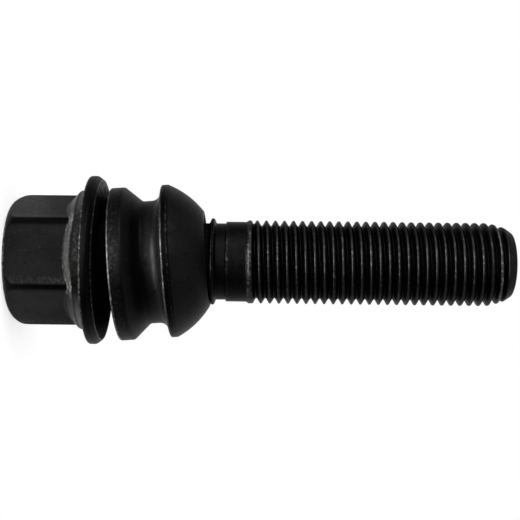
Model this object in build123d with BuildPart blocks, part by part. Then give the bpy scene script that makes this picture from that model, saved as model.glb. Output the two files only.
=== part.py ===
# Wheel bolt with a captive floating ball-seat collar, standing on its head.
# The bolt's axis is +Z and the head's end face lies at Z = 0.
# The thread's stretch is the plain cylinder over its crests.

from math import asin, atan2, cos, sin, sqrt
import os

from build123d import *

# Thread: M14 x 1.5, right hand, rolled larger than the shank
THREAD_R = 6.9
THREAD_LENGTH = 43.35
THREAD_LEAD_LENGTH = 0.4
TIP_TAPER_LENGTH = 2.4
TIP_TAPER_DROP = 0.64
TIP_CHAMFER_LENGTH = 1.5
TIP_CHAMFER_DROP = 1.05

# Hexagon head
HEX_ACROSS_FLATS = 19.0
HEX_HEIGHT = 9.45
HEX_CORNER_RADIUS = 0.8
HEX_TURN = -6.35
HEAD_FACE_R = 9.2
HEAD_DOME_HEIGHT = 2.7
HEAD_DOME_BULGE = 0.3

# Skirt and flange that close the head
SKIRT_R = 11.5
SKIRT_BEVEL_HEIGHT = 1.75
SKIRT_HEIGHT = 3.25
SKIRT_INSET = 0.5
FLANGE_R = 13.93
FLANGE_THICKNESS = 1.8
FLANGE_EDGE = 0.25

# Neck, retaining bead and plain shank
NECK_R = 6.33
NECK_LENGTH = 20.7
BEAD_HOLD = 0.05
BEAD_WIDTH = 1.15
BEAD_CREST = 0.45
BEAD_TO_SHANK = 2.3
SHANK_R = 6.62
SHANK_LENGTH = 3.75
SHANK_STEP_LENGTH = 0.25

# Floating collar: a spool with a spherical nose
BALL_R = 14.0
COLLAR_BORE_CLEARANCE = 0.22
COLLAR_LAND_DROP = 1.35
COLLAR_LAND_LENGTH = 2.3
COLLAR_EDGE = 0.2
GROOVE_DEPTH = 2.5
GROOVE_SLOPE_LENGTH = 2.75
GROOVE_FLOOR_LENGTH = 2.76
GROOVE_FLOOR_RADIUS = 0.7
GROOVE_WALL_LENGTH = 0.6
GROOVE_WALL_EDGE = 0.7
NOSE_LAND_LENGTH = 1.02
NOSE_FACE_WIDTH = 0.73
NOSE_BORE_CHAMFER = 0.4

# How the collar rests: cocked and to one side on the neck, its nose over the bead's flank
COLLAR_LEAN_GAP = 0.1
COLLAR_SIDE_SHIFT = 0.12
COLLAR_BEAD_GAP = 0.16

# Heights along the bolt, added up from the head's end face
skirt_bevel_top = HEX_HEIGHT + SKIRT_BEVEL_HEIGHT
flange_bottom = HEX_HEIGHT + SKIRT_HEIGHT
flange_top = flange_bottom + FLANGE_THICKNESS
shank_bottom = flange_top + NECK_LENGTH
bead_z = shank_bottom - BEAD_TO_SHANK
thread_bottom = shank_bottom + SHANK_LENGTH
tip_top = thread_bottom + THREAD_LENGTH
tip_shoulder = tip_top - TIP_CHAMFER_LENGTH

# Radii that follow from the fits
hex_corner_r = HEX_ACROSS_FLATS / sqrt(3)
collar_bore_r = THREAD_R + COLLAR_BORE_CLEARANCE
bead_r = collar_bore_r + BEAD_HOLD
collar_land_r = BALL_R - COLLAR_LAND_DROP
groove_r = collar_land_r - GROOVE_DEPTH
nose_face_r = collar_bore_r + NOSE_FACE_WIDTH
tip_shoulder_r = THREAD_R - TIP_TAPER_DROP

# Collar stations along its own axis, from its head-side face
ball_run = sqrt(BALL_R**2 - collar_land_r**2)
nose_run = sqrt(BALL_R**2 - nose_face_r**2)
floor_start = COLLAR_LAND_LENGTH + GROOVE_SLOPE_LENGTH
floor_end = floor_start + GROOVE_FLOOR_LENGTH
nose_land_start = floor_end + GROOVE_WALL_LENGTH
ball_start = nose_land_start + NOSE_LAND_LENGTH
ball_centre = ball_start - ball_run
collar_length = ball_centre + nose_run

# The lean takes up the play between bore and neck at both ends of the collar
play = collar_bore_r - NECK_R - COLLAR_SIDE_SHIFT - COLLAR_LEAN_GAP
lean = asin(2 * play / collar_length)
nose_reach = collar_length / 2 * cos(lean) + nose_face_r * sin(lean)
collar_middle_z = bead_z - BEAD_CREST / 2 - COLLAR_BEAD_GAP - nose_reach

os.makedirs("parts", exist_ok=True)

with BuildPart() as wheel_bolt:
    # Hexagon with softened corners and a domed end
    with BuildSketch() as hexagon:
        RegularPolygon(HEX_ACROSS_FLATS / 2, 6, major_radius=False, rotation=HEX_TURN)
        fillet(hexagon.vertices(), HEX_CORNER_RADIUS)
    extrude(amount=flange_bottom)
    with BuildSketch(Plane.XZ) as dome:
        with BuildLine():
            dome_middle = (
                (HEAD_FACE_R + hex_corner_r) / 2 + HEAD_DOME_BULGE,
                HEAD_DOME_HEIGHT / 2 - HEAD_DOME_BULGE,
            )
            Line((0, 0), (HEAD_FACE_R, 0))
            ThreePointArc((HEAD_FACE_R, 0), dome_middle, (hex_corner_r, HEAD_DOME_HEIGHT))
            Polyline(
                (hex_corner_r, HEAD_DOME_HEIGHT),
                (hex_corner_r, flange_bottom),
                (0, flange_bottom),
                (0, 0),
            )
        make_face()
    revolve(axis=Axis.Z, mode=Mode.INTERSECT)

    # Skirt, flange, neck, bead, shank, thread stretch and tip, turned in one profile
    with BuildSketch(Plane.XZ) as turned:
        with BuildLine():
            bevel_rate = SKIRT_BEVEL_HEIGHT / (SKIRT_R - HEX_ACROSS_FLATS / 2)
            bevel_start = HEX_HEIGHT - SKIRT_INSET * bevel_rate
            Polyline(
                (0, bevel_start),
                (HEX_ACROSS_FLATS / 2 - SKIRT_INSET, bevel_start),
                (SKIRT_R, skirt_bevel_top),
                (SKIRT_R, flange_bottom),
                (FLANGE_R - FLANGE_EDGE, flange_bottom),
                (FLANGE_R, flange_bottom + FLANGE_EDGE),
                (FLANGE_R, flange_top - FLANGE_EDGE),
                (FLANGE_R - FLANGE_EDGE, flange_top),
                (NECK_R, flange_top),
                (NECK_R, bead_z - BEAD_WIDTH / 2),
                (bead_r, bead_z - BEAD_CREST / 2),
                (bead_r, bead_z + BEAD_CREST / 2),
                (NECK_R, bead_z + BEAD_WIDTH / 2),
                (NECK_R, shank_bottom - SHANK_STEP_LENGTH),
                (SHANK_R, shank_bottom),
                (SHANK_R, thread_bottom - THREAD_LEAD_LENGTH),
                (THREAD_R, thread_bottom),
                (THREAD_R, tip_shoulder - TIP_TAPER_LENGTH),
                (tip_shoulder_r, tip_shoulder),
                (tip_shoulder_r - TIP_CHAMFER_DROP, tip_top),
                (0, tip_top),
                close=True,
            )
        make_face()
    revolve(axis=Axis.Z)

wheel_bolt.part.label = "wheel_bolt"
export_step(wheel_bolt.part, "parts/wheel_bolt.step")

# The collar's half section stands on its leaning axis
collar_plane = Plane(
    origin=(COLLAR_SIDE_SHIFT, 0, collar_middle_z),
    x_dir=(cos(lean), 0, sin(lean)),
    z_dir=(0, -1, 0),
)

with BuildPart() as ball_seat_collar:
    with BuildSketch(collar_plane) as spool:
        with BuildLine():
            foot = -collar_length / 2
            ball_middle_angle = (atan2(ball_run, collar_land_r) + atan2(nose_run, nose_face_r)) / 2
            ball_middle = (
                BALL_R * cos(ball_middle_angle),
                foot + ball_centre + BALL_R * sin(ball_middle_angle),
            )
            Polyline(
                (collar_bore_r + NOSE_BORE_CHAMFER, -foot),
                (collar_bore_r, -foot - NOSE_BORE_CHAMFER),
                (collar_bore_r, foot),
                (collar_land_r - COLLAR_EDGE, foot),
                (collar_land_r, foot + COLLAR_EDGE),
                (collar_land_r, foot + COLLAR_LAND_LENGTH),
            )
            FilletPolyline(
                (collar_land_r, foot + COLLAR_LAND_LENGTH),
                (groove_r, foot + floor_start),
                (groove_r, foot + floor_end - GROOVE_WALL_EDGE),
                radius=GROOVE_FLOOR_RADIUS,
            )
            wall_rate = GROOVE_WALL_LENGTH / (collar_land_r - groove_r)
            Polyline(
                (groove_r, foot + floor_end - GROOVE_WALL_EDGE),
                (groove_r + GROOVE_WALL_EDGE, foot + floor_end + GROOVE_WALL_EDGE * wall_rate),
                (collar_land_r, foot + nose_land_start),
                (collar_land_r, foot + ball_start),
            )
            ThreePointArc(
                (collar_land_r, foot + ball_start), ball_middle, (nose_face_r, -foot)
            )
            Line((nose_face_r, -foot), (collar_bore_r + NOSE_BORE_CHAMFER, -foot))
        make_face()
    revolve(axis=Axis(collar_plane.origin, collar_plane.y_dir))

ball_seat_collar.part.label = "ball_seat_collar"
export_step(ball_seat_collar.part, "parts/ball_seat_collar.step")
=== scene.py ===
import math
from functools import partial

import bpy
import numpy as np
from mathutils import Matrix, Vector


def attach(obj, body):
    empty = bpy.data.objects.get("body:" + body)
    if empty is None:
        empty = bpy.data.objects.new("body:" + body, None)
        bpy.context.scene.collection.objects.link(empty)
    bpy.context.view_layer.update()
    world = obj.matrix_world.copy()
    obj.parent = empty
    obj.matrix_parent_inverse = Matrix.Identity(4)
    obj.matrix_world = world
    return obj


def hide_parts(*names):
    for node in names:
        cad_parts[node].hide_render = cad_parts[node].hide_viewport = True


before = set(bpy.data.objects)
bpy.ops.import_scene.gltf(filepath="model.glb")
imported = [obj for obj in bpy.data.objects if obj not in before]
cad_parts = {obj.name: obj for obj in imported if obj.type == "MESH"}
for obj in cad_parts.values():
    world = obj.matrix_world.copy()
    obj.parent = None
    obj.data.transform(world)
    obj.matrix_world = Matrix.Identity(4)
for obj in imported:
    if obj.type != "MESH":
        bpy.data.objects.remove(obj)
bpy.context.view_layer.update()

MM = 0.001

# Hexagon head, in millimetres like every size of the part below
HEX_ACROSS_FLATS = 19.0
HEX_HEIGHT = 9.45
HEX_CORNER_RADIUS = 1.0
HEX_TURN = math.radians(-6.35)
HEAD_FACE_R = 9.2
HEAD_FACE_RINGS = (3.0, 6.0, 8.0, HEAD_FACE_R - 0.3, HEAD_FACE_R - 0.12)
HEAD_DOME_HEIGHT = 2.7
HEAD_DOME_BULGE = 0.3
DOME_BLEND = 0.28
DOME_ROWS = 56
FLAT_ROWS = 10
BEVEL_ROWS = 50

# Skirt and flange
SKIRT_R = 11.5
SKIRT_BEVEL_HEIGHT = 1.75
SKIRT_HEIGHT = 3.25
SKIRT_BLEND = 0.22
SKIRT_TOP_BLEND = 0.3
SKIRT_FILLET = 0.25
FLANGE_R = 13.92
FLANGE_THICKNESS = 1.8
FLANGE_EDGE_RADIUS = 0.3
FLANGE_ROLL_LENGTH = 0.85
FLANGE_ROLL_DROP = 0.65
FLANGE_ROLL_RISE = 0.2
FLANGE_ROLL_START_RADIUS = 0.5
FLANGE_ROLL_END_RADIUS = 0.2
FLANGE_FACE_RINGS = (13.0, 12.2, 11.4, 10.4, 9.4)

# Neck, bead and shank
NECK_R = 6.33
NECK_LENGTH = 20.7
NECK_FILLET = 0.6
NECK_TONGUE = 0.5
BEAD_HOLD = 0.05
BEAD_WIDTH = 1.15
BEAD_CREST = 0.45
BEAD_FOOT_RADIUS = 0.15
BEAD_CREST_RADIUS = 0.3
BEAD_TO_SHANK = 2.3
SHANK_R = 6.62
SHANK_LENGTH = 3.75
SHANK_STEP_LENGTH = 0.25
SHANK_STEP_SPREAD = 1.6
SHANK_STEP_INSET = 0.02

# Thread, right hand
THREAD_R = 6.9
THREAD_PITCH = 1.5
THREAD_DEPTH = 0.92
THREAD_CREST_FLAT = 0.27
THREAD_FLANK_SLOPE = 1.732
THREAD_CREST_BLEND = 0.2
THREAD_ROOT_BLEND = 0.3
THREAD_LENGTH = 43.35
THREAD_LEAD_LENGTH = 0.6
THREAD_CREST_Z = 79.93
THREAD_SEGMENTS = 112
THREAD_ROWS_PER_PITCH = 20
THREAD_WELD = 0.002
RUN_OUT_START = 39.1
RUN_OUT_LENGTH = 0.75
TIP_TAPER_LENGTH = 2.4
TIP_TAPER_DROP = 0.64
TIP_TAPER_BLEND = 0.4
TIP_CHAMFER_LENGTH = 1.5
TIP_CHAMFER_DROP = 1.05
TIP_BLEND = 0.3
TIP_BROW_DROP = 0.25
TIP_BROW_SLOPE = 2.5
TIP_BROW_BLEND = 0.2
TIP_GROOVE_END = 80.95
TIP_GROOVE_FADE = 0.6
TIP_END_GAP = 0.001

# Floating collar
BALL_R = 14.0
BALL_ROWS = 34
COLLAR_SEGMENTS = 180
COLLAR_BORE_CLEARANCE = 0.22
COLLAR_BORE_RADIUS = 0.3
COLLAR_LAND_DROP = 1.35
COLLAR_LAND_LENGTH = 2.3
COLLAR_LAND_RADIUS = 0.8
COLLAR_EDGE_RADIUS = 0.35
GROOVE_DEPTH = 2.5
GROOVE_SLOPE_LENGTH = 2.75
GROOVE_FLOOR_LENGTH = 2.76
GROOVE_FLOOR_RADIUS = 0.9
GROOVE_WALL_RADIUS = 1.7
GROOVE_WALL_LENGTH = 0.6
NOSE_LAND_LENGTH = 1.02
NOSE_LAND_RADIUS = 0.25
NOSE_BALL_RADIUS = 0.3
NOSE_FACE_WIDTH = 0.73
NOSE_EDGE_RADIUS = 0.2
NOSE_BORE_CHAMFER = 0.4
NOSE_BORE_RADIUS = 0.1
COLLAR_LEAN_GAP = 0.1
COLLAR_SIDE_SHIFT = 0.12
COLLAR_BEAD_GAP = 0.16

# How far the coat is worn through, 0 to 1, the rub on the last crest as a multiple
RIM_WEAR = 0.3
PRESSED_WEAR = 0.03
BEVEL_LEAST_WEAR = 0.05
BEVEL_MOST_WEAR = 0.95
SKIRT_WEAR = 0.03
CREST_WEAR = 0.045
CREST_WEAR_FADE = 0.08
TIP_CREST_RUB = 10.5
SHOULDER_WEAR = 0.145
STEP_WEAR = 0.05
CONE_WEAR = 0.015

# How dark the painted shade on the coat is, 0 to 1, or the level above 1 that gives the matt near-black
# painted shade where the pieces face each other
SHADE_CORNER = 0.8
SHADE_DOME = 0.9
SHADE_FLANGE_EDGE = (0.3, 0.95)
SHADE_TURNED = 0.68
SHADE_FLANK = 0.75
SHADE_LAND = 0.5
SHADE_SLOPE_TOP = 0.4
SHADE_SLOPE_GAIN = 0.5
SHADE_FLOOR_START = 0.7
SHADE_NOSE_LAND = 0.85
SHADE_BALL = 0.2
GAP_SHADE = 2.0
GAP_SHADE_FROM = 1.5

# How pale the painted sheen and highlight are, 0 to 1, and the radii of the painted light on the flange's
# face in the gap
BEVEL_PAINTED_SHEEN = 0.25
GROOVE_WALL_PAINTED_HIGHLIGHT = 0.42
GAP_LIGHT_FAR_SIDE = 0.3
GAP_LIGHT_FROM_R = 9.0
GAP_LIGHT_SPREAD = (9.8, 13.4)

# Painted shade round each corner of the hexagon and on the dome near it, and the wrench's wear beside each
# corner, in degrees; the core as a share of the band
CORNER_SHADE_BAND = 3.8
CORNER_SHADE_CORE = 0.7
CORNER_SHADE_SHIFT = 0.9
NEAR_CORNER = (9.0, 15.0)
PRESSED_START = (2.6, 3.6)
PRESSED_END = (5.0, 10.0)

# Heights and radii that follow
hex_flat_r = HEX_ACROSS_FLATS / 2
hex_corner_r = HEX_ACROSS_FLATS / math.sqrt(3)
skirt_bevel_top = HEX_HEIGHT + SKIRT_BEVEL_HEIGHT
flange_bottom = HEX_HEIGHT + SKIRT_HEIGHT
flange_top = flange_bottom + FLANGE_THICKNESS
shank_bottom = flange_top + NECK_LENGTH
bead_z = shank_bottom - BEAD_TO_SHANK
thread_bottom = shank_bottom + SHANK_LENGTH
tip_top = thread_bottom + THREAD_LENGTH
collar_bore_r = THREAD_R + COLLAR_BORE_CLEARANCE
bead_r = collar_bore_r + BEAD_HOLD
collar_land_r = BALL_R - COLLAR_LAND_DROP
groove_r = collar_land_r - GROOVE_DEPTH
nose_face_r = collar_bore_r + NOSE_FACE_WIDTH
tip_shoulder_r = THREAD_R - TIP_TAPER_DROP
tip_face_r = tip_shoulder_r - TIP_CHAMFER_DROP


# Node helpers

# Sockets of a colour mix
MIX_START, MIX_END, MIX_RESULT = 6, 7, 2


def plug(socket, value):
    """Links an input to another node's output, or sets its value; a colour comes without its alpha."""
    if isinstance(value, bpy.types.NodeSocket):
        socket.id_data.links.new(value, socket)
    elif isinstance(value, tuple):
        socket.default_value = (*value, 1.0)
    else:
        socket.default_value = value


def add_math(tree, operation, a, b=None, c=None, clamp=False):
    node = tree.nodes.new("ShaderNodeMath")
    node.operation = operation
    node.use_clamp = clamp
    for socket, value in zip(node.inputs, (a, b, c)):
        if value is not None:
            plug(socket, value)
    return node.outputs[0]


def add_ease(tree, value, low, high, low_out=0.0, high_out=1.0, kind="SMOOTHSTEP"):
    node = tree.nodes.new("ShaderNodeMapRange")
    node.interpolation_type = kind
    plug(node.inputs["Value"], value)
    plug(node.inputs["From Min"], low)
    plug(node.inputs["From Max"], high)
    plug(node.inputs["To Min"], low_out)
    plug(node.inputs["To Max"], high_out)
    return node.outputs["Result"]


def add_blend(tree, share, start, end):
    """Colour that goes from start to end as share goes from 0 to 1."""
    node = tree.nodes.new("ShaderNodeMix")
    node.data_type = "RGBA"
    plug(node.inputs["Factor"], share)
    plug(node.inputs[MIX_START], start)
    plug(node.inputs[MIX_END], end)
    return node.outputs[MIX_RESULT]


def add_attribute(tree, key):
    node = tree.nodes.new("ShaderNodeAttribute")
    node.attribute_name = key
    return node.outputs["Fac"]


# Meshes from rings

SHARP_ANGLE = math.radians(32)
WEAR_FADE = 0.12
MOST_OF_A_SIDE = 0.49


def rounded_outline(stations, arc_steps=7):
    """Points (r, z, wear) along a turned outline whose stations are (r, z, corner radius, wear)."""
    points = []
    for i, (r, z, radius, wear) in enumerate(stations):
        corner = Vector((r, z))
        if radius <= 0 or i in (0, len(stations) - 1):
            points.append((r, z, wear))
            continue
        back = Vector(stations[i - 1][:2]) - corner
        ahead = Vector(stations[i + 1][:2]) - corner
        half = back.angle(ahead) / 2
        tangent = min(
            radius / math.tan(half), MOST_OF_A_SIDE * back.length, MOST_OF_A_SIDE * ahead.length
        )
        true_radius = tangent * math.tan(half)
        back.normalize()
        ahead.normalize()
        middle = corner + (back + ahead).normalized() * true_radius / math.sin(half)
        first = corner + back * tangent - middle
        turn = first.angle_signed(corner + ahead * tangent - middle)
        points.append((*(corner + back * (tangent + WEAR_FADE)), 0.0))
        for step in range(arc_steps + 1):
            a = -turn * step / arc_steps
            spoke = Vector((
                first.x * math.cos(a) - first.y * math.sin(a),
                first.x * math.sin(a) + first.y * math.cos(a),
            ))
            points.append((*(middle + spoke), wear))
        points.append((*(corner + ahead * (tangent + WEAR_FADE)), 0.0))
    return points


def mesh_from_rings(name, radii, heights, angles, finish, closed_loop=False):
    """A turned skin: one ring per row of radii, joined round, with its poles closed or its rows in a loop.

    finish holds arrays shaped like radii, each kept as an attribute of that name.
    """
    rows, columns = radii.shape
    x = radii * np.cos(angles)[None, :]
    y = radii * np.sin(angles)[None, :]
    z = np.repeat(heights[:, None], columns, axis=1)
    points = np.stack([x, y, z], axis=2).reshape(-1, 3).tolist()
    finish = {key: values.reshape(-1).tolist() for key, values in finish.items()}
    faces = []
    last = rows if closed_loop else rows - 1
    for j in range(last):
        k = (j + 1) % rows
        for i in range(columns):
            n = (i + 1) % columns
            faces.append((j * columns + i, j * columns + n, k * columns + n, k * columns + i))
    if not closed_loop:
        for row in (0, rows - 1):
            pole = len(points)
            points.append((0.0, 0.0, float(heights[row])))
            for values in finish.values():
                values.append(values[row * columns])
            for i in range(columns):
                n = (i + 1) % columns
                edge = (row * columns + i, row * columns + n)
                faces.append((edge[1], edge[0], pole) if row == 0 else (edge[0], edge[1], pole))
    mesh = bpy.data.meshes.new(name)
    mesh.from_pydata([tuple(c * MM for c in p) for p in points], [], faces)
    for key, values in finish.items():
        layer = mesh.attributes.new(key, "FLOAT", "POINT")
        layer.data.foreach_set("value", np.array(values, np.float32))
    mesh.validate()
    return mesh


def add_object(name, data):
    thing = bpy.data.objects.new(name, data)
    bpy.context.scene.collection.objects.link(thing)
    return thing


def finish_piece(name, mesh, materials, body, node):
    """Smooths a mesh and seats it in the frame; of two materials, the second takes the faces in the matt
    painted shade of the gap.
    """
    mesh.polygons.foreach_set("use_smooth", [True] * len(mesh.polygons))
    mesh.set_sharp_from_angle(angle=SHARP_ANGLE)
    if materials:
        mesh.materials.clear()
        for material in materials:
            mesh.materials.append(material)
        shade_level = mesh.attributes["painted_shade"].data
        for face in mesh.polygons:
            if all(shade_level[i].value > GAP_SHADE_FROM for i in face.vertices):
                face.material_index = 1
    piece = add_object(name, mesh)
    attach(piece, body)
    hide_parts(node)


# Head, flange, neck and bead

def smooth_min(a, b, width):
    h = np.clip(0.5 + 0.5 * (b - a) / width, 0.0, 1.0)
    return b * (1 - h) + a * h - width * h * (1 - h)


def smooth_max(a, b, width):
    return -smooth_min(-a, -b, width)


def rise_over(values, low, high):
    """0 below low, 1 above high, eased between."""
    share = np.clip((values - low) / (high - low), 0.0, 1.0)
    return share * share * (3 - 2 * share)


def head_angles():
    """Angles round the head, close together at the six rounded corners."""
    bend = math.degrees(math.asin(HEX_CORNER_RADIUS * 0.5 / hex_corner_r))
    spans = ((-30, -4, 13), (-4, -bend, 3), (-bend, bend, 8), (bend, 4, 3), (4, 30, 13))
    side = np.concatenate([np.linspace(*span, endpoint=False) for span in spans])
    return np.radians(np.concatenate([side + 60 * k for k in range(6)])) + HEX_TURN


def from_corner(angles):
    """Angle past the nearest corner of the hexagon, below 0 before it."""
    return (angles - HEX_TURN + math.pi / 6) % (math.pi / 3) - math.pi / 6


def hexagon_radius(angles):
    """Distance from the axis to the hexagon's side, with its corners rounded."""
    off_corner = np.abs(from_corner(angles))
    flat = hex_flat_r / np.cos(math.pi / 6 - off_corner)
    centre = (hex_flat_r - HEX_CORNER_RADIUS) / math.cos(math.pi / 6)
    reach = HEX_CORNER_RADIUS**2 - (centre * np.sin(off_corner)) ** 2
    corner = centre * np.cos(off_corner) + np.sqrt(np.maximum(reach, 0.0))
    meets_flat = math.atan2(HEX_CORNER_RADIUS / 2, centre + HEX_CORNER_RADIUS * math.cos(math.pi / 6))
    return np.where(off_corner < meets_flat, corner, flat)


def dome_radius(height):
    """Radius of the domed end that trims the hexagon's corners."""
    a = np.array([HEAD_FACE_R, 0.0])
    b = np.array([
        (HEAD_FACE_R + hex_corner_r) / 2 + HEAD_DOME_BULGE,
        HEAD_DOME_HEIGHT / 2 - HEAD_DOME_BULGE,
    ])
    c = np.array([hex_corner_r, HEAD_DOME_HEIGHT])
    rows = np.array([b - a, c - a])
    centre = np.linalg.solve(2 * rows, np.array([b @ b - a @ a, c @ c - a @ a]))
    span = np.linalg.norm(a - centre)
    inside = np.maximum(span**2 - (height - centre[1]) ** 2, 0.0)
    return float(np.where(height < HEAD_DOME_HEIGHT, centre[0] + np.sqrt(inside), hex_corner_r + height))


def make_bolt_head():
    angles = head_angles()
    sides = hexagon_radius(angles)
    past_corner = np.degrees(from_corner(angles))
    # Painted shade in a band along each rounded corner, a little to one side of it
    off_band = np.abs(past_corner - CORNER_SHADE_SHIFT)
    corner_shade = 1 - rise_over(off_band, CORNER_SHADE_BAND * CORNER_SHADE_CORE, CORNER_SHADE_BAND)
    near_corner = 1 - rise_over(np.abs(past_corner), *NEAR_CORNER)
    # Every other flat has taken more of the wrench
    by_flat = np.cos(3 * (angles - HEX_TURN + math.pi / 2))
    taken = rise_over(by_flat, -0.6, 0.4)
    # The other flats get a painted sheen on their bevel and skirt wall
    sheened_flats = rise_over(-by_flat, -0.1, 0.9)
    # The wrench presses on one side of each corner
    pressed = rise_over(-past_corner, *PRESSED_START) * (1 - rise_over(-past_corner, *PRESSED_END))
    # Painted light on the flange's face in the gap, paler towards the sides at ±X and stronger on the -X
    # side
    gap_lit = np.where(np.cos(angles) < 0, 1.0, GAP_LIGHT_FAR_SIDE)
    heights, radii, wear, shade, painted_light = [], [], [], [], []

    def ring(r, z, worn=0.0, shaded=0.0, lightened=0.0):
        for rows, values in ((radii, r), (wear, worn), (shade, shaded), (painted_light, lightened)):
            rows.append(np.broadcast_to(np.asarray(values, float), angles.shape))
        heights.append(z)

    for r in HEAD_FACE_RINGS:
        ring(r, 0.0)
    # Domed end, flats and bevel, all cut from one hexagon
    stations = np.concatenate([
        np.linspace(0.02, HEAD_DOME_HEIGHT + 0.3, DOME_ROWS),
        np.linspace(HEAD_DOME_HEIGHT + 0.6, HEX_HEIGHT - 0.7, FLAT_ROWS),
        np.linspace(HEX_HEIGHT - 0.6, skirt_bevel_top + 0.3, BEVEL_ROWS),
    ])
    bevel_rate = (SKIRT_R - hex_flat_r) / SKIRT_BEVEL_HEIGHT
    for z in stations:
        dome = dome_radius(z)
        trimmed = smooth_min(sides, dome, DOME_BLEND)
        bevel = hex_flat_r + (z - HEX_HEIGHT) * bevel_rate
        skirt = float(smooth_min(bevel, SKIRT_R, SKIRT_TOP_BLEND))
        overhang = trimmed - hex_flat_r
        on_bevel = rise_over(skirt - trimmed, -0.05 - 0.2 * overhang, 0.6 - 0.3 * overhang)
        on_bevel = on_bevel * (1 - rise_over(bevel - 0.3 * overhang, SKIRT_R - 0.6, SKIRT_R - 0.1))
        on_dome = rise_over(sides - dome, -0.05, 0.15)
        on_side = 1 - rise_over(skirt - trimmed, -0.2, 0.0)
        rim = RIM_WEAR * (1 - rise_over(z, 0.1, 0.5))
        bevel_wear = BEVEL_LEAST_WEAR + (BEVEL_MOST_WEAR - BEVEL_LEAST_WEAR) * taken
        side_wear = PRESSED_WEAR * pressed * on_side * (1 - on_dome)
        # Painted shade on the corners and on the dome near them, painted sheen on the bevel of the other
        # flats
        ring(
            smooth_max(trimmed, skirt, SKIRT_BLEND),
            float(z),
            np.maximum(on_bevel * bevel_wear, np.maximum(rim, side_wear)),
            SHADE_CORNER * np.maximum(corner_shade, SHADE_DOME * on_dome * near_corner) * on_side,
            BEVEL_PAINTED_SHEEN * sheened_flats * rise_over(skirt - trimmed, 0.3, 1.0),
        )
    # Flange with its far edge rolled over, neck and bead, turned
    rolled_top = flange_top + FLANGE_ROLL_RISE
    rolled_r = FLANGE_R - FLANGE_ROLL_DROP
    face_r = rolled_r - FLANGE_ROLL_END_RADIUS
    face_heights = np.interp(FLANGE_FACE_RINGS, (NECK_R, rolled_r), (flange_top, rolled_top))
    bead_start = bead_z - BEAD_WIDTH / 2
    outline = rounded_outline([
        (SKIRT_R, skirt_bevel_top + 0.35, 0, SKIRT_WEAR),
        (SKIRT_R, flange_bottom - 0.5, 0, SKIRT_WEAR),
        (SKIRT_R, flange_bottom, SKIRT_FILLET, 0.05),
        (FLANGE_R, flange_bottom, FLANGE_EDGE_RADIUS, 0.12),
        (FLANGE_R, rolled_top - FLANGE_ROLL_LENGTH, FLANGE_ROLL_START_RADIUS, 0.0),
        (rolled_r, rolled_top, FLANGE_ROLL_END_RADIUS, 0.1),
        *[(r, float(z), 0, 0.0) for r, z in zip(FLANGE_FACE_RINGS, face_heights)],
        (NECK_R, flange_top, NECK_FILLET, 0.0),
        (NECK_R, bead_start, BEAD_FOOT_RADIUS, 0.0),
        (bead_r, bead_z - BEAD_CREST / 2, BEAD_CREST_RADIUS, 0.04),
        (bead_r, bead_z + BEAD_CREST / 2, BEAD_CREST_RADIUS, 0.02),
        (NECK_R, bead_z + BEAD_WIDTH / 2, BEAD_FOOT_RADIUS, 0.0),
        (NECK_R, shank_bottom + NECK_TONGUE, 0, 0.0),
    ])
    for r, z, worn in outline:
        # Matt painted shade on the flange's face and the neck inside the collar, painted shade on the
        # flange's rim and past the bead; painted sheen on the skirt wall and painted light in the gap
        if flange_top - 0.05 < z < bead_start and r < face_r:
            shade_level = GAP_SHADE
        elif r >= face_r:
            shade_level = float(np.interp(z, (flange_bottom, flange_top), SHADE_FLANGE_EDGE))
        else:
            shade_level = 0.0 if z < flange_top else SHADE_TURNED
        if z < flange_bottom + 0.1:
            lightened = sheened_flats * (1 - rise_over(r, SKIRT_R, SKIRT_R + 0.2))
        elif GAP_LIGHT_FROM_R < r < face_r:
            lightened = gap_lit * rise_over(r * np.abs(np.cos(angles)), *GAP_LIGHT_SPREAD)
        else:
            lightened = 0.0
        ring(r, z, worn, shade_level, lightened)
    return mesh_from_rings(
        "bolt_head", np.array(radii), np.array(heights), angles,
        {"worn_edge": np.array(wear), "painted_shade": np.array(shade), "painted_light": np.array(painted_light)},
    )


# Collar, turned on its leaning axis

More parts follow.
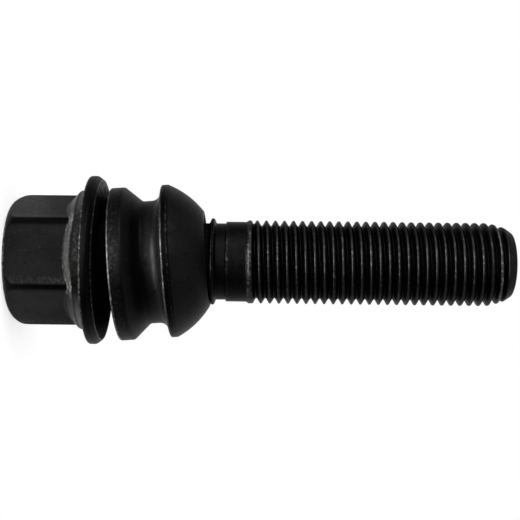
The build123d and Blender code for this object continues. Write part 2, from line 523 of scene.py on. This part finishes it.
def make_seat_collar():
    ball_run = math.sqrt(BALL_R**2 - collar_land_r**2)
    nose_run = math.sqrt(BALL_R**2 - nose_face_r**2)
    floor_start = COLLAR_LAND_LENGTH + GROOVE_SLOPE_LENGTH
    floor_end = floor_start + GROOVE_FLOOR_LENGTH
    nose_land_start = floor_end + GROOVE_WALL_LENGTH
    ball_start = nose_land_start + NOSE_LAND_LENGTH
    ball_centre = ball_start - ball_run
    length = ball_centre + nose_run
    play = collar_bore_r - NECK_R - COLLAR_SIDE_SHIFT - COLLAR_LEAN_GAP
    lean = math.asin(2 * play / length)
    nose_reach = length / 2 * math.cos(lean) + nose_face_r * math.sin(lean)
    middle_z = bead_z - BEAD_CREST / 2 - COLLAR_BEAD_GAP - nose_reach

    ball_first = math.atan2(ball_run, collar_land_r)
    ball_last = math.atan2(nose_run, nose_face_r)
    half_ball = [
        (BALL_R * math.cos(a), ball_centre + BALL_R * math.sin(a), 0, 0.0)
        for a in np.linspace(ball_first, ball_last, BALL_ROWS)[1:-1]
    ]
    down_the_slope = [
        (collar_land_r - share * GROOVE_DEPTH, COLLAR_LAND_LENGTH + share * GROOVE_SLOPE_LENGTH, 0, 0.0)
        for share in (0.4, 0.6)
    ]
    outline = rounded_outline([
        (collar_bore_r, length / 2, 0, 0.0),
        (collar_bore_r, 0.0, COLLAR_BORE_RADIUS, 0.0),
        (collar_land_r, 0.0, COLLAR_EDGE_RADIUS, 0.6),
        (collar_land_r, 0.6, 0, 0.035),
        (collar_land_r, COLLAR_LAND_LENGTH - 0.5, 0, 0.015),
        (collar_land_r, COLLAR_LAND_LENGTH, COLLAR_LAND_RADIUS, 0.0),
        *down_the_slope,
        (groove_r, floor_start, GROOVE_FLOOR_RADIUS, 0.0),
        (groove_r, floor_end, GROOVE_WALL_RADIUS, 0.0),
        (collar_land_r, nose_land_start, NOSE_LAND_RADIUS, 0.3),
        (collar_land_r, ball_start, NOSE_BALL_RADIUS, 0.06),
        *half_ball,
        (nose_face_r, length, NOSE_EDGE_RADIUS, 0.25),
        (collar_bore_r + NOSE_BORE_CHAMFER, length, NOSE_BORE_RADIUS, 0.1),
        (collar_bore_r, length - NOSE_BORE_CHAMFER, NOSE_BORE_RADIUS, 0.0),
        (collar_bore_r, length / 2 + 0.5, 0, 0.0),
    ])
    radii, along, wear = np.array(outline).T
    angles = np.linspace(0, 2 * math.pi, COLLAR_SEGMENTS, endpoint=False)

    def all_round(values):
        return np.repeat(values[:, None], len(angles), axis=1)

    def between(low, high):
        return (along > low) & (along < high)

    # Painted shade stretch by stretch, a later one over an earlier one, and the matt painted shade on the
    # end face and in the bore
    outside = radii > groove_r
    slope_gain = rise_over(along, COLLAR_LAND_LENGTH + 0.6, COLLAR_LAND_LENGTH + 1.7)
    shade_level = np.zeros_like(along)
    for stretch, level in (
        (between(0.3, COLLAR_LAND_LENGTH) & outside, SHADE_LAND),
        (between(nose_land_start + 0.2, ball_start + 0.4) & outside, SHADE_NOSE_LAND),
        (between(COLLAR_LAND_LENGTH, floor_start - 0.3), SHADE_SLOPE_TOP + SHADE_SLOPE_GAIN * slope_gain),
        (between(floor_start - 0.4, floor_start + 0.5), SHADE_FLOOR_START),
        (along > ball_start + 0.4, SHADE_BALL),
        ((along < 0.01) & (radii < collar_land_r - 0.4), GAP_SHADE),
        (radii < collar_bore_r + 0.01, GAP_SHADE),
    ):
        shade_level = np.where(stretch, level, shade_level)
    # Painted highlight on the groove's wall fillet, paler up the wall
    up_the_wall = rise_over(radii, groove_r + 0.1, groove_r + 0.9)
    painted_light = np.where(between(floor_start + 1.0, nose_land_start), GROOVE_WALL_PAINTED_HIGHLIGHT * up_the_wall, 0.0)
    finish = {"worn_edge": all_round(wear), "painted_shade": all_round(shade_level), "painted_light": all_round(painted_light)}
    mesh = mesh_from_rings(
        "seat_collar", all_round(radii), along - length / 2, angles, finish, closed_loop=True
    )
    place = Matrix((
        (math.cos(lean), 0, -math.sin(lean), COLLAR_SIDE_SHIFT * MM),
        (0, 1, 0, 0),
        (math.sin(lean), 0, math.cos(lean), middle_z * MM),
        (0, 0, 0, 1),
    ))
    mesh.transform(place)
    return mesh


# Thread, grown by a node tree from one flat grid

def thread_tree():
    """Rolls a flat grid round the axis with its rows along the helix, so that each crest is a clean line."""
    tree = bpy.data.node_groups.new("rolled_thread", "GeometryNodeTree")
    face = tree.interface
    face.new_socket("Thread", in_out="OUTPUT", socket_type="NodeSocketGeometry")
    sizes = {}
    for label in (
        "Start", "End", "Pitch", "Crest Radius", "Depth", "Crest Flat", "Flank Slope", "Crest Height",
        "Shank Radius", "Neck Radius", "Shank Step", "Thread Start", "Lead Length",
        "Run-out Start", "Run-out Length",
        "Tip Face Radius", "Tip Chamfer", "Tip Shoulder Radius", "Tip Taper",
        "Tip Groove End", "Tip Groove Fade",
    ):
        sizes[label] = face.new_socket(label, in_out="INPUT", socket_type="NodeSocketFloat")
    for label in ("Segments", "Rows", "Rows per Pitch"):
        sizes[label] = face.new_socket(label, in_out="INPUT", socket_type="NodeSocketInt")
    sizes["Coat"] = face.new_socket("Coat", in_out="INPUT", socket_type="NodeSocketMaterial")

    nodes = tree.nodes
    given = nodes.new("NodeGroupInput")
    out = nodes.new("NodeGroupOutput")
    size = {label: given.outputs[label] for label in sizes}
    calc = partial(add_math, tree)
    ease = partial(add_ease, tree)

    grid = nodes.new("GeometryNodeMeshGrid")
    plug(grid.inputs["Size X"], 1.0)
    plug(grid.inputs["Size Y"], 1.0)
    plug(grid.inputs["Vertices X"], calc("ADD", size["Segments"], 1.0))
    plug(grid.inputs["Vertices Y"], size["Rows"])
    spot = nodes.new("GeometryNodeInputPosition")
    split = nodes.new("ShaderNodeSeparateXYZ")
    plug(split.inputs[0], spot.outputs[0])

    turn = calc("ADD", split.outputs["X"], 0.5)
    angle = calc("MULTIPLY", turn, 2 * math.pi)
    last_row = calc("SUBTRACT", size["Rows"], 1.0)
    row = calc("ROUND", calc("MULTIPLY", calc("ADD", split.outputs["Y"], 0.5), last_row))
    row_step = calc("DIVIDE", size["Pitch"], size["Rows per Pitch"])
    climb = calc("MULTIPLY", turn, size["Pitch"])
    base = calc("SUBTRACT", size["Start"], size["Pitch"])
    along = calc("ADD", base, calc("MULTIPLY", calc("SUBTRACT", row, 1.0), row_step))
    height = calc("MINIMUM", calc("MAXIMUM", calc("ADD", along, climb), size["Start"]), size["End"])

    # Distance from the nearest crest along the axis, and how far the groove falls there
    phase = calc("SUBTRACT", calc("SUBTRACT", height, climb), size["Crest Height"])
    half_pitch = calc("MULTIPLY", size["Pitch"], 0.5)
    off_crest = calc("ABSOLUTE", calc("WRAP", phase, half_pitch, calc("MULTIPLY", half_pitch, -1.0)))
    flat_edge = calc("MULTIPLY", size["Crest Flat"], 0.5)
    fall = calc("MULTIPLY", calc("SUBTRACT", off_crest, flat_edge), size["Flank Slope"])
    fall = calc("SMOOTH_MAX", fall, 0.0, THREAD_CREST_BLEND * MM)
    fall = calc("SMOOTH_MIN", fall, size["Depth"], THREAD_ROOT_BLEND * MM)
    run_out_end = calc("ADD", size["Run-out Start"], size["Run-out Length"])
    fall = calc("MULTIPLY", fall, ease(height, size["Run-out Start"], run_out_end))
    fade_start = calc("SUBTRACT", size["Tip Groove End"], size["Tip Groove Fade"])
    before_end = ease(height, fade_start, size["Tip Groove End"], 1.0, 0.0)
    fall = calc("MULTIPLY", fall, before_end)

    # The blank that the groove is cut into: step, shank and thread, then the tip's taper, cone and brow
    lead_start = calc("SUBTRACT", size["Thread Start"], size["Lead Length"])
    blank = ease(height, lead_start, size["Thread Start"], size["Shank Radius"], size["Crest Radius"])
    step_end = calc("ADD", size["Start"], size["Shank Step"])
    step = ease(height, size["Start"], step_end, size["Neck Radius"], size["Crest Radius"])
    blank = calc("MINIMUM", blank, step)
    to_end = calc("SUBTRACT", size["End"], height)
    cone_drop = calc("SUBTRACT", size["Tip Shoulder Radius"], size["Tip Face Radius"])
    cone_rate = calc("DIVIDE", cone_drop, size["Tip Chamfer"])
    cone = calc("ADD", size["Tip Face Radius"], calc("MULTIPLY", to_end, cone_rate))
    taper_drop = calc("SUBTRACT", size["Crest Radius"], size["Tip Shoulder Radius"])
    taper_rate = calc("DIVIDE", taper_drop, size["Tip Taper"])
    taper = calc("MULTIPLY", calc("SUBTRACT", to_end, size["Tip Chamfer"]), taper_rate)
    taper = calc("ADD", size["Tip Shoulder Radius"], taper)
    cone = calc("SMOOTH_MIN", cone, taper, TIP_TAPER_BLEND * MM)
    skin = calc("SUBTRACT", calc("SMOOTH_MIN", blank, cone, TIP_BLEND * MM), fall)
    brow_foot = calc("SUBTRACT", size["Tip Face Radius"], TIP_BROW_DROP * MM)
    brow = calc("ADD", brow_foot, calc("MULTIPLY", to_end, TIP_BROW_SLOPE))
    skin = calc("SMOOTH_MIN", skin, brow, TIP_BROW_BLEND * MM)

    # The first and last rows close the ends on the axis
    ends = calc("MULTIPLY", calc("MINIMUM", row, 1.0), calc("MINIMUM", calc("SUBTRACT", last_row, row), 1.0))
    reach = calc("MULTIPLY", skin, ends)
    join = nodes.new("ShaderNodeCombineXYZ")
    plug(join.inputs["X"], calc("MULTIPLY", reach, calc("COSINE", angle)))
    plug(join.inputs["Y"], calc("MULTIPLY", reach, calc("SINE", angle)))
    plug(join.inputs["Z"], height)

    # The coat wears on the crests, most on the last one, on the first one's shoulder and on the tip's cone
    on_crest = ease(off_crest, flat_edge, calc("ADD", flat_edge, CREST_WEAR_FADE * MM), CREST_WEAR, 0.0)
    on_crest = calc("MULTIPLY", on_crest, ease(height, lead_start, size["Thread Start"]))
    last_crest = calc("SUBTRACT", size["Tip Groove End"], size["Pitch"])
    rub_start = calc("SUBTRACT", last_crest, 0.9 * MM)
    rub_end = calc("SUBTRACT", last_crest, 0.2 * MM)
    rubbed_tip = ease(height, rub_start, rub_end, 1.0, TIP_CREST_RUB)
    on_crest = calc("MULTIPLY", calc("MULTIPLY", on_crest, rubbed_tip), before_end)
    off_shoulder = calc("ABSOLUTE", calc("SUBTRACT", height, size["Thread Start"]))
    on_shoulder = ease(off_shoulder, 0.1 * MM, 0.4 * MM, SHOULDER_WEAR, 0.0)
    off_step = calc("ABSOLUTE", calc("SUBTRACT", height, step_end))
    on_step = ease(off_step, 0.0, 0.3 * MM, STEP_WEAR, 0.0)
    on_cone = ease(height, fade_start, size["Tip Groove End"], 0.0, CONE_WEAR)
    worn = calc("MAXIMUM", calc("MAXIMUM", on_crest, on_shoulder), calc("MAXIMUM", on_step, on_cone))
    # Painted shade on the flanks and on the shank
    sunk = calc("DIVIDE", fall, size["Depth"])
    flank_shade = calc("MULTIPLY", ease(sunk, 0.05, 0.3), ease(sunk, 0.82, 0.97, SHADE_FLANK, 0.0))
    thread_shade = calc("MAXIMUM", flank_shade, ease(height, lead_start, size["Thread Start"], SHADE_TURNED, 0.0))

    shape = grid.outputs["Mesh"]
    for name, value in (("worn_edge", worn), ("painted_shade", thread_shade)):
        keep = nodes.new("GeometryNodeStoreNamedAttribute")
        keep.data_type = "FLOAT"
        keep.domain = "POINT"
        plug(keep.inputs["Name"], name)
        plug(keep.inputs["Value"], value)
        plug(keep.inputs["Geometry"], shape)
        shape = keep.outputs["Geometry"]
    for kind, key, value in (
        ("GeometryNodeSetPosition", "Position", join.outputs[0]),
        ("GeometryNodeMergeByDistance", "Distance", THREAD_WELD * MM),
        ("GeometryNodeRealizeInstances", None, None),
        ("GeometryNodeSetMaterial", "Material", size["Coat"]),
    ):
        node = nodes.new(kind)
        plug(node.inputs["Geometry"], shape)
        if key:
            plug(node.inputs[key], value)
        shape = node.outputs["Geometry"]
    plug(out.inputs["Thread"], shape)
    return tree, {label: socket.identifier for label, socket in sizes.items()}


def make_bolt_thread(material):
    start = shank_bottom - SHANK_STEP_LENGTH
    pitches = (tip_top - start + THREAD_PITCH) / THREAD_PITCH
    tree, keys = thread_tree()
    blank = add_object("thread_blank", bpy.data.meshes.new("thread_blank"))
    grow = blank.modifiers.new("thread", "NODES")
    grow.node_group = tree
    for label, value in {
        "Start": start, "End": tip_top - TIP_END_GAP, "Pitch": THREAD_PITCH, "Crest Radius": THREAD_R,
        "Depth": THREAD_DEPTH, "Crest Flat": THREAD_CREST_FLAT, "Crest Height": THREAD_CREST_Z,
        "Shank Radius": SHANK_R, "Neck Radius": NECK_R - SHANK_STEP_INSET,
        "Shank Step": SHANK_STEP_LENGTH * SHANK_STEP_SPREAD,
        "Thread Start": thread_bottom, "Lead Length": THREAD_LEAD_LENGTH,
        "Run-out Start": RUN_OUT_START, "Run-out Length": RUN_OUT_LENGTH,
        "Tip Face Radius": tip_face_r, "Tip Chamfer": TIP_CHAMFER_LENGTH,
        "Tip Shoulder Radius": tip_shoulder_r, "Tip Taper": TIP_TAPER_LENGTH,
        "Tip Groove End": TIP_GROOVE_END, "Tip Groove Fade": TIP_GROOVE_FADE,
    }.items():
        grow[keys[label]] = value * MM
    grow[keys["Flank Slope"]] = THREAD_FLANK_SLOPE
    grow[keys["Segments"]] = THREAD_SEGMENTS
    grow[keys["Rows"]] = 3 + math.ceil(pitches * THREAD_ROWS_PER_PITCH)
    grow[keys["Rows per Pitch"]] = THREAD_ROWS_PER_PITCH
    grow[keys["Coat"]] = material
    grown = blank.evaluated_get(bpy.context.evaluated_depsgraph_get())
    mesh = bpy.data.meshes.new_from_object(grown)
    mesh.name = "bolt_thread"
    bpy.data.objects.remove(blank)
    return mesh


# Finishes

COAT_DARK = (0.0125, 0.0125, 0.013)
COAT_PALE = (0.018, 0.0178, 0.0175)
COAT_SPECK = (0.03, 0.03, 0.029)
COAT_PIT = (0.004, 0.004, 0.004)
COAT_SHADE = (0.0012, 0.0012, 0.0013)
COAT_PAINTED_LIGHT = (0.15, 0.148, 0.144)
COAT_EDGE_TINT = (0.7, 0.7, 0.7)
COAT_LEAST_ROUGHNESS = 0.36
COAT_MOST_ROUGHNESS = 0.46
STEEL_PALE = (0.47, 0.468, 0.463)
STEEL_DIM = (0.44, 0.436, 0.424)
GRAIN_STRENGTH = 0.3
FINE_GRAIN_HEIGHT = 0.04
BROAD_GRAIN_HEIGHT = 0.08
GAP_SHADE_DARK = (0.0018, 0.0018, 0.0019)
GAP_SHADE_PALE = (0.0065, 0.0064, 0.0062)
GAP_PAINTED_LIGHT = (0.25, 0.247, 0.242)
GAP_SHADE_ROUGHNESS = 0.95


def add_noise(tree, scale, detail, rough=0.5):
    """Noise fixed to the piece, finer for a larger scale."""
    node = tree.nodes.new("ShaderNodeTexNoise")
    plug(node.inputs["Scale"], scale)
    plug(node.inputs["Detail"], detail)
    plug(node.inputs["Roughness"], rough)
    plug(node.inputs["Vector"], tree.nodes.new("ShaderNodeTexCoord").outputs["Object"])
    return node.outputs["Fac"]


def coated_steel(name, least_rub, most_rub):
    """Near-black satin coat on forged steel, mottled, with painted sheen and painted shade, rubbed through
    where worn_edge says.
    """
    material = bpy.data.materials.new(name)
    material.use_nodes = True
    tree = material.node_tree
    noise, spread = partial(add_noise, tree), partial(add_ease, tree)
    calc, blend = partial(add_math, tree), partial(add_blend, tree)
    shader = tree.nodes["Principled BSDF"]
    plug(shader.inputs["Metallic"], 1.0)
    plug(shader.inputs["Specular Tint"], COAT_EDGE_TINT)

    # The coat goes first where the wear is strongest, in patches, and shines in a few nicks
    worn = add_attribute(tree, "worn_edge")
    patches = spread(noise(2200.0, 4.0, 0.6), 0.42, 0.72, -0.9, 2.6)
    half_worn = calc("MULTIPLY", worn, calc("SUBTRACT", 1.0, worn))
    rubbed = calc("ADD", worn, calc("MULTIPLY", half_worn, patches), clamp=True)
    rubbed = calc("MULTIPLY", rubbed, spread(noise(1700.0, 2.0), 0.5, 0.66, least_rub, most_rub))

    # Clouds, pale specks and dark pits in the coat, then painted sheen and highlight, then painted shade
    coat = blend(spread(noise(260.0, 3.0), 0.3, 0.7), COAT_DARK, COAT_PALE)
    coat = blend(spread(noise(2300.0, 3.0, 0.6), 0.6, 0.72), coat, COAT_SPECK)
    coat = blend(spread(noise(1500.0, 3.0, 0.6), 0.28, 0.4, 0.75, 0.0), coat, COAT_PIT)
    coat = blend(add_attribute(tree, "painted_light"), coat, COAT_PAINTED_LIGHT)
    coat = blend(add_attribute(tree, "painted_shade"), coat, COAT_SHADE)
    steel = blend(noise(700.0, 2.0), STEEL_PALE, STEEL_DIM)
    plug(shader.inputs["Base Color"], blend(rubbed, coat, steel))
    roughness = spread(noise(1500.0, 4.0, 0.6), 0.3, 0.7, COAT_LEAST_ROUGHNESS, COAT_MOST_ROUGHNESS)
    plug(shader.inputs["Roughness"], roughness)

    # A fine grain on a broad one
    normal = None
    for grain, height in (
        (noise(520.0, 2.0), BROAD_GRAIN_HEIGHT),
        (noise(2800.0, 4.0, 0.55), FINE_GRAIN_HEIGHT),
    ):
        bump = tree.nodes.new("ShaderNodeBump")
        plug(bump.inputs["Strength"], GRAIN_STRENGTH)
        plug(bump.inputs["Distance"], height * MM)
        plug(bump.inputs["Height"], grain)
        if normal is not None:
            plug(bump.inputs["Normal"], normal)
        normal = bump.outputs["Normal"]
    plug(shader.inputs["Normal"], normal)
    return material


def gap_shade_black(name):
    """Matt near-black painted shade where the pieces face each other, with painted light broken up by noise
    where the painted-light attribute says.
    """
    material = bpy.data.materials.new(name)
    material.use_nodes = True
    tree = material.node_tree
    shader = tree.nodes["Principled BSDF"]
    plug(shader.inputs["Roughness"], GAP_SHADE_ROUGHNESS)
    plug(shader.inputs["Specular IOR Level"], 0.0)
    mottle = add_noise(tree, 1200.0, 4.0)
    broken = add_ease(tree, mottle, 0.38, 0.6, 0.3, 1.0, kind="LINEAR")
    share = add_math(tree, "MULTIPLY", add_attribute(tree, "painted_light"), broken)
    tone = add_blend(tree, mottle, GAP_SHADE_DARK, GAP_SHADE_PALE)
    plug(shader.inputs["Base Color"], add_blend(tree, share, tone, GAP_PAINTED_LIGHT))
    return material


head_coat = coated_steel("head_coat", 0.7, 0.9)
thread_coat = coated_steel("thread_coat", 0.25, 0.9)
collar_coat = coated_steel("collar_coat", 0.3, 0.6)
gap_shade_coat = gap_shade_black("gap_shade_coat")

finish_piece("bolt_head", make_bolt_head(), (head_coat, gap_shade_coat), "bolt", "wheel_bolt")
finish_piece("bolt_thread", make_bolt_thread(thread_coat), (), "bolt", "wheel_bolt")
finish_piece(
    "seat_collar", make_seat_collar(), (collar_coat, gap_shade_coat), "collar", "ball_seat_collar"
)


# Floor, studio light and camera, in metres

FLOOR_R = 0.032
FLOOR_SIDES = 96
FLOOR_GREY = (0.8, 0.8, 0.8)
FLOOR_GLOW = 0.62

# Light round the part: degrees from the camera's side towards -X, and the grey level there
WALL_LEVELS = (
    (-180, 0.6), (-143, 0.85), (-116, 1.0), (-90, 0.45), (-72, 0.22), (-40, 0.04), (0, 0.07), (10, 1.75),
    (24, 1.75), (36, 0.3), (66, 0.3), (100, 0.3), (116, 0.4), (134, 0.65), (150, 0.65), (180, 0.6),
)
# Its share at each height
WALL_SHARES = ((-0.45, 0.9), (0.03, 0.9), (0.12, 1.1), (0.45, 0.8))
WALL_R = 0.45
WALL_FOOT = -0.8
WALL_TOP = 0.45
WALL_ROWS = 26
WALL_STEP = 3
BACK_OPENING = 12
LID_LEVEL = 0.6
# The low lamp in front, by degrees, and the heights between which it fades
LOW_LAMP = (
    (-180, 0.0), (-70, 0.0), (-40, 2.0), (-20, 13.0), (5, 17.0), (25, 20.0), (45, 3.0), (60, 0.0), (180, 0.0)
)
LOW_LAMP_FADE = (-0.3, -0.15)

WORLD_FILL = (0.5, 0.5, 0.5)
WORLD_SEEN = (1.0, 1.0, 1.0)
SOFT_BOX_SIZE = 0.25
SOFT_BOX_POWER = 0.6
SOFT_BOX_PLACE = (-0.28, -0.2, 0.12)
SOFT_BOX_AIM = (0, 0, 0.04)

CAMERA_DISTANCE = 0.175
CAMERA_TILT = math.radians(0.69)
CAMERA_X = -0.000324
CAMERA_Z = 0.0407
SENSOR_WIDTH = 36.0
PIXELS_PER_MM = 6.02
PICTURE_WIDTH = 520


def glow(name, strength):
    material = bpy.data.materials.new(name)
    material.use_nodes = True
    tree = material.node_tree
    tree.nodes.clear()
    out = tree.nodes.new("ShaderNodeOutputMaterial")
    lit = tree.nodes.new("ShaderNodeEmission")
    plug(lit.inputs["Strength"], strength)
    plug(out.inputs["Surface"], lit.outputs[0])
    return material


def seen_directly(tree):
    """1 for rays that carry a picture of the background: camera, glossy and transmission rays."""
    path = tree.nodes.new("ShaderNodeLightPath").outputs
    seen = add_math(tree, "MAXIMUM", path["Is Camera Ray"], path["Is Glossy Ray"])
    return add_math(tree, "MAXIMUM", seen, path["Is Transmission Ray"])


def make_floor():
    turns = [2 * math.pi * i / FLOOR_SIDES for i in range(FLOOR_SIDES)]
    points = [(0.0, 0.0, 0.0)] + [(FLOOR_R * math.cos(a), FLOOR_R * math.sin(a), 0.0) for a in turns]
    faces = [(0, 1 + i, 1 + (i + 1) % FLOOR_SIDES) for i in range(FLOOR_SIDES)]
    mesh = bpy.data.meshes.new("floor")
    mesh.from_pydata(points, [], faces)
    material = bpy.data.materials.new("pale_floor")
    material.use_nodes = True
    tree = material.node_tree
    tree.nodes.clear()
    out = tree.nodes.new("ShaderNodeOutputMaterial")
    matt = tree.nodes.new("ShaderNodeBsdfDiffuse")
    plug(matt.inputs["Color"], FLOOR_GREY)
    lit = tree.nodes.new("ShaderNodeEmission")
    plug(lit.inputs["Strength"], add_math(tree, "MULTIPLY", seen_directly(tree), FLOOR_GLOW))
    both = tree.nodes.new("ShaderNodeAddShader")
    plug(both.inputs[0], matt.outputs[0])
    plug(both.inputs[1], lit.outputs[0])
    plug(out.inputs["Surface"], both.outputs[0])
    mesh.materials.append(material)
    floor = add_object("floor", mesh)


def make_light_wall():
    """A ring of soft grey round the part, brighter where a studio's lamps stand, and a lid over it."""
    degrees = np.arange(-180, 180, WALL_STEP)
    rows = np.linspace(WALL_FOOT, WALL_TOP, WALL_ROWS)
    round_part = np.interp(degrees, *zip(*WALL_LEVELS))
    upward = np.interp(rows, *zip(*WALL_SHARES))
    low_lamp = np.interp(degrees, *zip(*LOW_LAMP)) * (1 - rise_over(rows, *LOW_LAMP_FADE))[:, None]
    levels = round_part * upward[:, None] + low_lamp
    points, faces = [], []
    for z in rows:
        for a in np.radians(degrees):
            points.append((-WALL_R * math.sin(a), -WALL_R * math.cos(a), z))
    count = len(degrees)
    behind = 180 - np.abs(degrees) < BACK_OPENING
    for i in range(count):
        n = (i + 1) % count
        if behind[i] or behind[n]:
            continue
        for row in range(len(rows) - 1):
            j, k = row * count, (row + 1) * count
            faces.append((j + i, j + n, k + n, k + i))
    mesh = bpy.data.meshes.new("light_wall")
    mesh.from_pydata(points, [], faces)
    layer = mesh.attributes.new("light_level", "FLOAT", "POINT")
    layer.data.foreach_set("value", levels.reshape(-1).astype(np.float32))
    material = glow("light_wall", 1.0)
    lit = material.node_tree.nodes["Emission"]
    plug(lit.inputs["Strength"], add_attribute(material.node_tree, "light_level"))
    mesh.materials.append(material)
    stand_aside("light_wall", mesh)

    lid = bpy.data.meshes.new("light_lid")
    corners = [(x * WALL_R, y * WALL_R, WALL_TOP) for x, y in ((-1, -1), (1, -1), (1, 1), (-1, 1))]
    lid.from_pydata(corners, [], [(0, 1, 2, 3)])
    lid.materials.append(glow("light_lid", LID_LEVEL))
    stand_aside("light_lid", lid)


def stand_aside(name, mesh):
    """Stage that shapes the reflections, out of the camera's sight and casting no shadow."""
    card = add_object(name, mesh)
    card.visible_camera = False
    card.visible_shadow = False


def make_light():
    world = bpy.data.worlds.new("studio")
    bpy.context.scene.world = world
    world.use_nodes = True
    tree = world.node_tree
    back = tree.nodes["Background"]
    plug(back.inputs["Color"], add_blend(tree, seen_directly(tree), WORLD_FILL, WORLD_SEEN))
    plug(back.inputs["Strength"], 1.0)

    lamp = bpy.data.lights.new("soft_box", "AREA")
    lamp.shape = "RECTANGLE"
    lamp.size = SOFT_BOX_SIZE
    lamp.size_y = SOFT_BOX_SIZE
    lamp.energy = SOFT_BOX_POWER
    box = add_object("soft_box", lamp)
    box.location = SOFT_BOX_PLACE
    box.rotation_euler = (Vector(SOFT_BOX_AIM) - box.location).to_track_quat("-Z", "Y").to_euler()


def make_camera():
    data = bpy.data.cameras.new("camera")
    data.sensor_width = SENSOR_WIDTH
    data.lens = SENSOR_WIDTH * PIXELS_PER_MM * CAMERA_DISTANCE / MM / PICTURE_WIDTH
    data.clip_start = 0.01
    camera = add_object("camera", data)
    camera.matrix_world = Matrix((
        (-math.sin(CAMERA_TILT), -math.cos(CAMERA_TILT), 0, CAMERA_X),
        (0, 0, -1, -CAMERA_DISTANCE),
        (math.cos(CAMERA_TILT), -math.sin(CAMERA_TILT), 0, CAMERA_Z),
        (0, 0, 0, 1),
    ))
    bpy.context.scene.camera = camera


make_floor()
make_light()
make_light_wall()
make_camera()
bpy.context.scene.view_settings.view_transform = "Standard"
